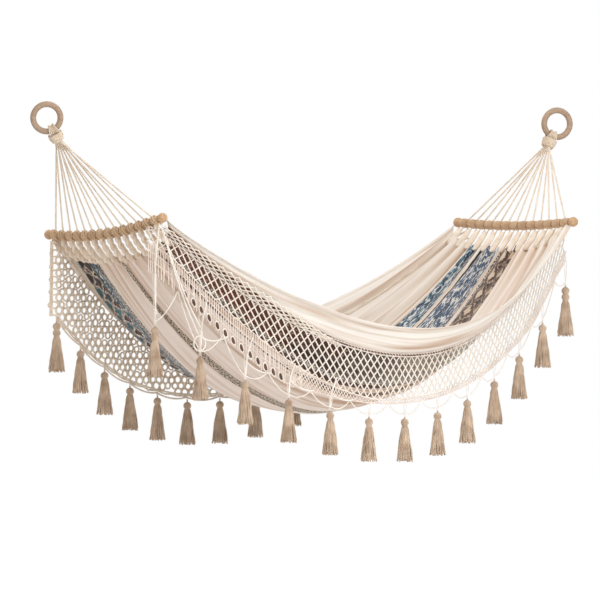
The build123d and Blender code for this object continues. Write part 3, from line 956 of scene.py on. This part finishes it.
def bedCloth():
    rng = np.random.default_rng(cloth["seed"])
    xs = np.linspace(hung["clothStart"], hung["clothEnd"], cloth["along"])
    us = np.linspace(0, 1, cloth["across"])
    xGrid, uGrid = np.meshgrid(xs, us, indexing="ij")
    # the corners are drawn up to the bars
    drawnUp = cloth["cornerDraw"] * np.abs(2 * uGrid - 1) ** 7
    xGrid = xGrid - drawnUp * np.clip(1 - (xGrid - hung["clothStart"]) / cloth["cornerReach"], 0, 1)
    xGrid = xGrid + drawnUp * np.clip(1 - (hung["clothEnd"] - xGrid) / cloth["cornerReach"], 0, 1)
    y, z, normalY, normalZ = bedPoint(xGrid, uGrid)
    toEnd = np.minimum(xGrid - hung["clothStart"], hung["clothEnd"] - xGrid)
    gathered = np.exp(-toEnd / cloth["pleatReach"])
    waves = zip(rng.uniform(0.2, 0.5, 4), (0.6, 1.1, 1.9, 3.1), rng.uniform(0, tau, 4))
    wobble = sum(a * np.sin(f * xGrid * tau + p + 3 * uGrid) for a, f, p in waves)
    waves = zip((0.5, 0.4, 0.3), (3.0, 7.0, 12.0), rng.uniform(0, tau, 3))
    uneven = sum(a * np.sin(f * uGrid * tau + p) for a, f, p in waves)
    phase = uGrid * cloth["pleats"] * tau + uneven + wobble * gathered
    pleat = np.sin(phase) + 0.35 * np.sin(2.3 * phase + 1.0)
    lift = cloth["pleatDepth"] * gathered * pleat
    shallow = cloth["ripple"] * (1 - gathered)
    lift += shallow * np.sin(uGrid * 9 * tau + 1.4 * wobble) * (0.4 + 0.6 * np.sin(uGrid * 5 + 1))
    slack = 0.55 + 0.85 * np.abs(np.cos(np.pi * alongBed(xGrid)))
    for left, right, width, depth in longFolds:
        middle = left + (right - left) * alongBed(xGrid) + 0.006 * np.sin(5 * xGrid + 40 * left)
        lift -= depth * slack * np.exp(-((uGrid - middle) / width) ** 2)
        lift += 0.5 * depth * slack * np.exp(-((uGrid - middle - 1.7 * width) / width) ** 2)
    for middle, width, depth, wander in hemFolds:
        drift = middle + wander * np.sin(alongBed(xGrid) * 5 + middle * 40)
        lift += depth * np.exp(-((uGrid - drift) / width) ** 2)
    nearHem = np.exp(-(uGrid / 0.05) ** 2)
    lift += cloth["hemLift"] * nearHem * np.exp(-((alongBed(xGrid) - 0.27) / 0.16) ** 2)
    y = y + normalY * lift
    z = z + normalZ * lift
    run = np.concatenate([[0], np.cumsum(np.hypot(np.diff(xs), np.diff(edgeHeight(xs))))])
    run = run / run[-1]
    points = np.stack([xGrid, y, z], -1).reshape(-1, 3)
    n, m = xGrid.shape
    grid = np.arange(n * m).reshape(n, m)
    quads = np.stack([grid[:-1, :-1], grid[1:, :-1], grid[1:, 1:], grid[:-1, 1:]], -1).reshape(-1, 4)
    obj = meshObject("bedCloth", points, (), quads)
    mesh = obj.data
    uvLayer = mesh.uv_layers.new(name="cloth")
    corner = np.zeros(len(mesh.loops), dtype=np.int32)
    mesh.loops.foreach_get("vertex_index", corner)
    flatUv = np.stack([uGrid, np.repeat(run[:, None], m, 1)], -1).reshape(-1, 2)
    uvLayer.data.foreach_set("uv", flatUv[corner].astype(np.float32).ravel())
    # how deep each point lies in a hollow, most near the bars; the finish paints shade there
    depth = np.clip(0.5 - lift / 0.014, 0, 1) * np.clip(gathered * 1.1 + 0.15, 0, 1)
    addAttribute(mesh, "fold", "FLOAT", "POINT", "value", depth)
    mesh.materials.append(finishes["bed"])
    mesh.shade_smooth()
    solid = obj.modifiers.new("thickness", "SOLIDIFY")
    solid.thickness = clothSize["thickness"]
    solid.offset = 0
    bakeDown(obj)
    normals = np.zeros(len(obj.data.polygons) * 3, dtype=np.float32)
    obj.data.polygons.foreach_get("normal", normals)
    addAttribute(obj.data, "inside", "FLOAT", "FACE", "value", normals.reshape(-1, 3)[:, 2] > 0)
    return obj


bed = bedCloth()
settle(bed, "bed_cotton", "bed_cloth")
print("bed hung")

# near lace: knotted net, fine crochet borders
net = {"cellWidth": 0.0260, "cellHeight": 0.0200, "thread": 0.0026, "knot": 0.0042, "start": 0.222,
       "end": 2.012, "fineCell": 0.0115, "fineThread": 0.0017, "topBorder": 0.012, "stringPitch": 0.0075,
       "collarRows": 6}


def netFoot(x):
    # the open net: shallow at the left, deepest past the middle
    deep = np.interp(x, (0.22, 0.40, 0.53, 0.63, 0.74, 0.85, 1.13, 1.60, 1.85, 2.04),
                     (0.060, 0.090, 0.122, 0.142, 0.162, 0.172, 0.180, 0.165, 0.125, 0.075))
    return np.maximum(laceTop("near", x) - deep, laceBottom("near", x) + 0.016)


def crochetFoot(x):
    # the fine crochet border below it, deepest at the left
    deep = np.interp(x, (0.25, 0.60, 0.85, 1.13, 1.60, 2.04), (0.100, 0.100, 0.062, 0.045, 0.042, 0.030))
    return np.maximum(netFoot(x) - deep, laceBottom("near", x) + 0.002)


def netEdges(number):
    # threads from every knot to the two below it; none between two knots on the foot line
    edges = []
    for (i, j), (index, under) in number.items():
        for step in ((0, -1) if j % 2 == 0 else (0, 1)):
            other = number.get((i + step, j + 1))
            if other and not (under and other[1]):
                edges.append((index, other[0]))
    return edges


def netGraph(topOf, footOf, width, height, start, end):
    columns = int((end - start) / width)
    xs = start + width * (np.arange(columns + 1))
    deepest = int(np.ceil(np.max(topOf(xs) - footOf(xs)) / height)) + 1
    number, points = {}, []
    for j in range(deepest + 1):
        for i in range(columns + 1):
            x = start + width * (i + 0.5 * (j % 2))
            if x > end + 1e-6:
                continue
            top, foot = float(topOf(x)), float(footOf(x))
            z = top - j * height
            if z < foot - height:
                continue
            number[(i, j)] = (len(points), z <= foot)
            points.append((x, max(z, foot)))
    return points, netEdges(number)


def growNet(name, points, edges, thread, knot, finish, sides=5):
    return growTree(meshObject(name, points, edges), netTree, {
        "Thread radius": thread, "Knot radius": knot, "Sides": sides, "Material": finishes[finish]})


def laceNet(name, graph, *look):
    flat, edges = graph
    return growNet(name, lacePoint("near", *zip(*flat)), edges, *look)


def laceLine(side, heightOf, start, end, step=0.008, lift=0.0):
    xs = np.arange(start, end + step / 2, step)
    points = lacePoint(side, xs, heightOf(xs))
    points[:, 1] += sideSign[side] * lift
    return [Vector(p) for p in points]


def onBed(xs, us, lift):
    # points on the outer face of the bed, stood off from it
    y, z, normalY, normalZ = bedPoint(np.asarray(xs, float), np.asarray(us, float))
    return np.stack([xs, y - normalY * lift, z - normalZ * lift], -1)


def collarNet():
    # towards the left bar the net climbs over the hem band, up to the edge
    points, number = [], {}
    for j in range(net["collarRows"] + 1):
        i = 0
        while True:
            x = 0.266 + net["cellWidth"] * (i + 0.5 * (j % 2))
            if x > 0.88:
                break
            top = float(np.interp(x, (0.26, 0.60, 0.88), (0.020, 0.034, 0.088)))
            number[(i, j)] = (len(points), False)
            points.append(onBed([x], [top + (0.094 - top) * j / net["collarRows"]], 0.011)[0])
            i += 1
    return growNet("netCollar", points, netEdges(number), net["thread"], net["knot"], "netLace")


def nearLace():
    def netTop(x):
        return laceTop("near", x) - net["topBorder"]

    head = netGraph(lambda x: laceTop("near", x), netTop, net["fineCell"], 0.006, net["start"], net["end"])
    ground = netGraph(netTop, netFoot, net["cellWidth"], net["cellHeight"], net["start"], net["end"])
    border = netGraph(netFoot, crochetFoot, net["fineCell"], 0.0095, 0.70, net["end"])
    pieces = [
        collarNet(),
        laceNet("netGround", ground, net["thread"], net["knot"], "netLace"),
        laceNet("netHead", head, 0.0015, 0.0022, "borderLace", 4),
        laceNet("netBorder", border, net["fineThread"], 0.0031, "borderLace", 4),
    ]
    edges = [laceLine("near", heightOf, net["start"], net["end"], lift=0.0012)
             for heightOf in (lambda x: laceTop("near", x) - 0.002, netTop, netFoot)]
    edges.append(laceLine("near", crochetFoot, 0.60, net["end"], lift=0.0012))
    pieces.append(laidCord("netEdges", edges, "borderLace", 0.0050, pitch=0.012, step=0.005, sides=5))
    # the deep part of the border: close upright threads, held by two rows of stitches
    rng = random.Random(3)
    uprights = []
    x = net["start"] + 0.004
    while x < 0.74:
        high, low = float(netFoot(x)), float(crochetFoot(x))
        low -= 0.010 * rng.random()
        lean = 0.006 * rng.uniform(-1, 1)
        uprights.append([Vector(p) for p in lacePoint("near", np.linspace(x, x + lean, 7),
                                                      np.linspace(high, low, 7))])
        x += net["stringPitch"] * rng.uniform(0.8, 1.15)
    pieces.append(laidCord("uprightThreads", uprights, "borderLace", 0.0040, strands=1, step=0.008, sides=5))
    rows = [laceLine("near", lambda x, k=k: netFoot(x) + (crochetFoot(x) - netFoot(x)) * k, 0.235, 0.73,
                     lift=0.002)
            for k in (0.30, 0.62)]
    pieces.append(laidCord("borderRows", rows, "borderLace", 0.0045, pitch=0.012, step=0.005, sides=5))
    # open ovals along the foot of the deep part, each with its own edge; a dark pad fills each one as painted shade
    # seen through the hole
    xs = np.arange(0.345, 0.68, 0.0262)
    places = lacePoint("near", xs, crochetFoot(xs) + 0.012)
    places[:, 1] -= 0.004
    for shape, sizes, finish in ((pillowShape(8, 10), (0.0145, 0.0068, 0.0026), "darkStitch"),
                                 (ringShape(1.05, 0.22, 14, 6), (0.0150, 0.0078, 0.0070), "whiteString")):
        pieces.append(scatterOn("ovals", places, (0, -1, 0), (0.34, 0, -0.94), sizes, meshObject("oval", *shape),
                                finish))
    # small dark stitches along the head of the lace
    xs = np.arange(net["start"] + 0.01, 1.35, 0.0125)
    heads = lacePoint("near", xs, laceTop("near", xs) - 0.006)
    routes = [[Vector(p) + Vector((-0.0030, -0.0026, 0.0020)), Vector(p) + Vector((0.0030, -0.0026, -0.0020))]
              for p in heads]
    pieces.append(laidCord("darkStitches", routes, "darkStitch", 0.0040, strands=1, step=0.003))
    return joinPieces("laceNear", pieces)


laceNear = nearLace()
settle(laceNear, "net_lace", "lace_near")
print("near lace knotted")

# far lace: crochet rings in staggered rows
crochet = {"pitch": 0.0310, "row": 0.0228, "ring": 0.0119, "cord": 0.0033, "widen": 1.16, "drawn": 0.35,
           "drawnOver": 0.28, "jitter": 0.0024, "start": 0.232, "end": 2.026}


def ringStretch(x):
    # the rings are drawn out where the lace is pulled to the bars
    return 1 + crochet["drawn"] * (math.exp((crochet["start"] - x) / crochet["drawnOver"])
                                   + math.exp((x - crochet["end"]) / crochet["drawnOver"]))


def leanRoom(edge, x, z):
    # how far a point of the far lace is from its edge, measured square to the edge
    lean = float(edge("far", x + 0.01) - edge("far", x - 0.01)) / 0.02
    return (float(edge("far", x)) - z) / math.hypot(1, lean)


def farLace():
    rng = random.Random(9)
    points, sizes = [], []
    columns = [crochet["start"] + 0.007]
    while columns[-1] < crochet["end"]:
        columns.append(columns[-1] + crochet["pitch"] * ringStretch(columns[-1]))
    highest = float(laceTop("far", crochet["start"]))
    for j in range(60):
        for first, second in zip(columns, columns[1:]):
            x = (first + second) / 2 if j % 2 else first
            z = highest - j * crochet["row"]
            above = leanRoom(laceTop, x, z)
            below = -leanRoom(laceBottom, x, z)
            if x > crochet["end"] or above < 0.70 * crochet["ring"] or below < 0.55 * crochet["ring"]:
                continue
            points.append((x + crochet["jitter"] * rng.uniform(-1, 1), z + crochet["jitter"] * rng.uniform(-1, 1)))
            grow = 1.16 if below < crochet["row"] else rng.uniform(0.88, 1.08)
            sizes.append((crochet["widen"] * ringStretch(x) * grow, grow * rng.uniform(0.92, 1.08), 1.0))
    xs, zs = np.array(points).T
    places = lacePoint("far", xs, zs)
    ahead = lacePoint("far", xs + 0.004, zs) - places
    runs = ahead / np.linalg.norm(ahead, axis=1)[:, None]
    facings = np.stack([-runs[:, 1], runs[:, 0], 0 * runs[:, 0]], -1)
    unit = meshObject("oneRing", *ringShape(crochet["ring"], crochet["cord"]))
    dots = scatterOn("crochetRings", places, facings, runs, sizes, unit, "farLace")
    lines = [laceLine("far", lambda x: laceTop("far", x) - 0.003, crochet["start"] - 0.008, crochet["end"]),
             laceLine("far", lambda x: laceBottom("far", x) + 0.004, crochet["start"] - 0.008, crochet["end"])]
    for x in (crochet["start"] - 0.009, crochet["start"] - 0.002):
        high, low = float(laceTop("far", x)), float(laceBottom("far", x))
        lines.append([Vector(p) for p in lacePoint("far", [x] * 30, np.linspace(high, low, 30))])
    edges = laidCord("crochetEdges", lines, "farLace", 0.0080, pitch=0.018, step=0.005)
    return joinPieces("laceFar", [dots, edges])


laceFar = farLace()
settle(laceFar, "crochet_lace", "lace_far")
print("far lace crocheted")


# strings under the lace that carry the tassels
joints = {joint["name"]: joint for joint in frame["record"]["behaviour"]["joints"]}


def tasselPivot(side, x):
    # the hinge each tassel swings on, and the direction it turns about
    joint = joints[f"tassel_{side}_{tasselXs.index(x) + 1:02d}_swing"]
    return Vector(joint["pos_m"]), Vector(joint["axis"])


strings = {"thin": 0.0034, "nearArc": 0.0056, "farArc": 0.0078, "stout": 0.0062}


def swag(a, b, sag, steps=14):
    # a line that hangs between two points, lowest in the middle
    shares = [s / steps for s in range(steps + 1)]
    return [a.lerp(b, share) + Vector((0, 0, -sag * 4 * share * (1 - share))) for share in shares]


def lowOnLace(side, x, share=0.0):
    # a point on the lace: 0 at its foot, 1 at its head; the near net's foot counts as the foot
    foot = float(crochetFoot(x)) if side == "near" else float(laceBottom(side, x))
    return Vector(lacePoint(side, x, foot + share * (float(laceTop(side, x)) - foot)))


def tasselStrings(side):
    rng = random.Random(11)
    loops, arcs = [], []
    for i, x in enumerate(tasselXs):
        pivot, run = tasselPivot(side, x)
        outward = Vector((0, sideSign[side] * 0.003, 0))
        high = lowOnLace(side, x, 0.02) + outward
        knot = pivot + Vector((0, 0, 0.014))
        # down through the tassel's eye and back up
        for way in (-1, 1):
            top = high + run * way * 0.006
            loops.append([top, top.lerp(knot, 0.5) + run * way * 0.002, knot + run * way * 0.0022])
        loops.append([knot - run * 0.0022, pivot - run * 0.0030 + Vector((0, 0, 0.004)), pivot,
                      pivot + run * 0.0030 + Vector((0, 0, 0.004)), knot + run * 0.0022])
        if i:
            before = tasselPivot(side, tasselXs[i - 1])[0]
            middleX = (x + tasselXs[i - 1]) / 2
            middle = lowOnLace(side, middleX, 0.0) + outward
            if side == "near":
                arcs.append(swag(middle, knot, 0.012 + 0.006 * rng.random()))
                arcs.append(swag(before + Vector((0, 0, 0.016)), middle, 0.014 + 0.006 * rng.random()))
            else:
                arcs.append(swag(before + Vector((0, 0, 0.012)), knot, 0.012))
                arcs.append(swag(lowOnLace(side, tasselXs[i - 1], 0.02) + outward, middle, 0.006))
                arcs.append(swag(middle, lowOnLace(side, x, 0.02) + outward, 0.006))
    finish = "whiteString" if side == "near" else "farLace"
    pieces = [laidCord("tasselStrings", loops, finish, strings["thin"], pitch=0.009, step=0.003, sides=5),
              laidCord("tasselArcs", arcs, finish, strings[side + "Arc"], pitch=0.013, sides=5)]
    if side == "near":
        pieces += longStrings()
    return settle(joinPieces("tasselStrings" + side.capitalize(), pieces),
                  "net_lace" if side == "near" else "crochet_lace", "tassel_hangers_" + side)


def longStrings():
    # at the left long strings hang over the border and are gathered in knots above the tassels
    stout = []
    for i in range(1, 5):
        knot = tasselPivot("near", tasselXs[i])[0] + Vector((0, -0.002, 0.018))
        upper = lowOnLace("near", tasselXs[i] + 0.02, 0.35) + Vector((0, -0.007, 0))
        side = lowOnLace("near", tasselXs[i] + 0.085, 0.02) + Vector((0, -0.006, 0))
        stout.append(splineRoute([upper, upper.lerp(knot, 0.4) + Vector((-0.012, 0, -0.01)),
                                  upper.lerp(knot, 0.8) + Vector((-0.006, 0, -0.004)), knot]))
        stout.append(swag(knot + Vector((0, 0, 0.05)), side, 0.014))
    bar = Vector((barX["left"], -0.352, float(barHeight("left", -0.352)) - 0.012))
    for i, reach in ((0, 0.05), (0, 0.09), (1, 0.06), (1, 0.10)):
        knot = tasselPivot("near", tasselXs[i])[0] + Vector((0, -0.004, reach))
        top = bar + Vector((0.006 * i, -0.006, 0))
        stout.append(splineRoute([top, top.lerp(knot, 0.3) + Vector((-0.012, -0.004, -0.01)),
                                  top.lerp(knot, 0.75) + Vector((-0.010, -0.002, -0.015)), knot]))
    middle = tasselPivot("near", tasselXs[1])[0] + Vector((-0.006, -0.006, 0.045))
    stout.append([middle + Vector((0.025 * math.cos(tau * a / 20), 0, 0.027 * math.sin(tau * a / 20)))
                  for a in range(21)])
    knots = [[Vector((0.006 * math.cos(1.7 * a), 0.005 * math.sin(1.7 * a), 0.011 - 0.0022 * a)) + place
              for a in range(11)] for place in (tasselPivot("near", tasselXs[0])[0] + Vector((0, -0.004, 0.05)),
                                               tasselPivot("near", tasselXs[1])[0] + Vector((0, -0.004, 0.08)))]
    return [laidCord("stoutStrings", stout, "whiteString", strings["stout"], pitch=0.016),
            laidCord("stringKnots", knots, "whiteString", 0.0060, strands=1, step=0.003)]


for side in ("near", "far"):
    tasselStrings(side)
print("strings tied")

# tassels
tassel = {"head": 0.0145, "neck": 0.009, "neckLength": 0.005, "skirt": 0.126, "shoulder": 0.014, "hem": 0.030,
          "eye": 0.003, "strands": 54, "innerStrands": 26, "ribs": 20, "neckTurns": 3}


def makeTassel(name, heads, seed):
    rng = random.Random(seed)
    dip = math.sqrt(tassel["head"] ** 2 - tassel["neck"] ** 2)
    ribs, wraps, strands = [], [], []
    corePoints = []
    z = -tassel["eye"]
    for h in range(heads):
        centre = z - tassel["head"] if h == 0 else centre - 2 * dip
        topAngle = 1.45 if h == 0 else math.acos(tassel["neck"] / tassel["head"])
        lowAngle = -math.acos(tassel["neck"] / tassel["head"])
        reach = tassel["head"] - 0.0020
        for r in range(tassel["ribs"]):
            around = tau * (r + 0.2 * rng.random()) / tassel["ribs"]
            rib = []
            for s in range(11):
                lift = topAngle + (lowAngle - topAngle) * s / 10
                rib.append(Vector((reach * math.cos(lift) * math.cos(around), reach * math.cos(lift)
                                   * math.sin(around), centre + reach * math.sin(lift))))
            ribs.append(rib)
        for s in range(9):
            lift = topAngle + (lowAngle - topAngle) * s / 8
            corePoints.append(((reach - 0.001) * math.cos(lift), centre + (reach - 0.001) * math.sin(lift)))
        neckZ = centre - dip
        wound, steps = tassel["neck"] - 0.0006, 16 * tassel["neckTurns"]
        wraps.append([Vector((wound * math.cos(tau * a / 16), wound * math.sin(tau * a / 16),
                              neckZ + 0.0012 - 0.0042 * a / steps)) for a in range(steps + 1)])
    top = neckZ - 0.001
    hemZ = neckZ - tassel["neckLength"] - tassel["skirt"]
    neck, shoulder = tassel["neck"] * 0.85, tassel["shoulder"] * 0.92
    for count, share in ((tassel["strands"], 1.0), (tassel["innerStrands"], 0.66)):
        for s in range(count):
            around = tau * (s + 0.5 * rng.random()) / count
            spread = share * rng.uniform(0.86, 0.97)
            length = rng.uniform(0.90, 1.0)
            sway = rng.uniform(-0.10, 0.10)
            curl = rng.uniform(-0.0025, 0.0025)
            strand = []
            for k in range(11):
                t = k / 10
                zed = top + (hemZ - top) * t * length
                if t < 0.1:
                    reach = neck + (shoulder - neck) * t / 0.1
                else:
                    reach = shoulder + (tassel["hem"] - shoulder) * ((t - 0.1) / 0.9)
                reach = reach * (spread if t > 0.05 else share) + curl * math.sin(t * 7 + s)
                reach = max(reach, 0.002)
                turnBy = around + sway * t * t
                strand.append(Vector((reach * math.cos(turnBy), reach * math.sin(turnBy), zed)))
            strands.append(strand)
    eye = [Vector((0.0030 * math.cos(tau * a / 12), 0, 0.0030 * math.sin(tau * a / 12))) for a in range(13)]
    pieces = [laidCord("ribs", ribs, "tassel", 0.0042, strands=1, step=0.0045, sides=5),
              laidCord("wraps", wraps + [eye], "tassel", 0.0024, strands=1, step=0.003, sides=5),
              laidCord("skirt", strands, "tassel", 0.0036, strands=1, step=0.014, sides=4)]
    # a soft core keeps the light from showing between the strands
    corePoints += [(tassel["neck"] * 0.75, top - 0.004), (tassel["shoulder"] * 0.7, top - 0.014),
                   (tassel["hem"] * 0.62, hemZ + 0.012), (0.0005, hemZ + 0.014)]
    corePoints = [(0.0005, corePoints[0][1] + 0.0005)] + corePoints
    points = [(reach * math.cos(tau * a / 16), reach * math.sin(tau * a / 16), height)
              for reach, height in corePoints for a in range(16)]
    core = meshObject("core", points, (), barrelFaces(len(corePoints) - 1, 16))
    core.data.materials.append(finishes["tassel"])
    core.data.shade_smooth()
    return joinPieces(name, pieces + [core])


variants = {(heads, v): makeTassel(f"pattern{heads}{v}", heads, 20 + 3 * heads + v)
            for heads, v in ((1, 0), (1, 1), (1, 2), (2, 0))}
for side in ("near", "far"):
    for i, x in enumerate(tasselXs):
        heads = 2 if i in (0, hung["tassels"] - 1) else 1
        pattern = variants[(heads, 0 if heads == 2 else i % 3)]
        mesh = pattern.data.copy()
        pivot, run = tasselPivot(side, x)
        turned = Matrix.Rotation(math.atan2(run.y, run.x) + math.pi / 2, 4, "Z")
        mesh.transform(Matrix.Translation(pivot) @ turned)
        label = f"tassel_{side}_{i + 1:02d}"
        obj = placeObject(f"tassel{side.capitalize()}{i + 1:02d}", mesh)
        settle(obj, "tassel_cotton", label, body=label)
for pattern in variants.values():
    bpy.data.objects.remove(pattern, do_unlink=True)
print("tassels tied")

bpy.context.view_layer.update()
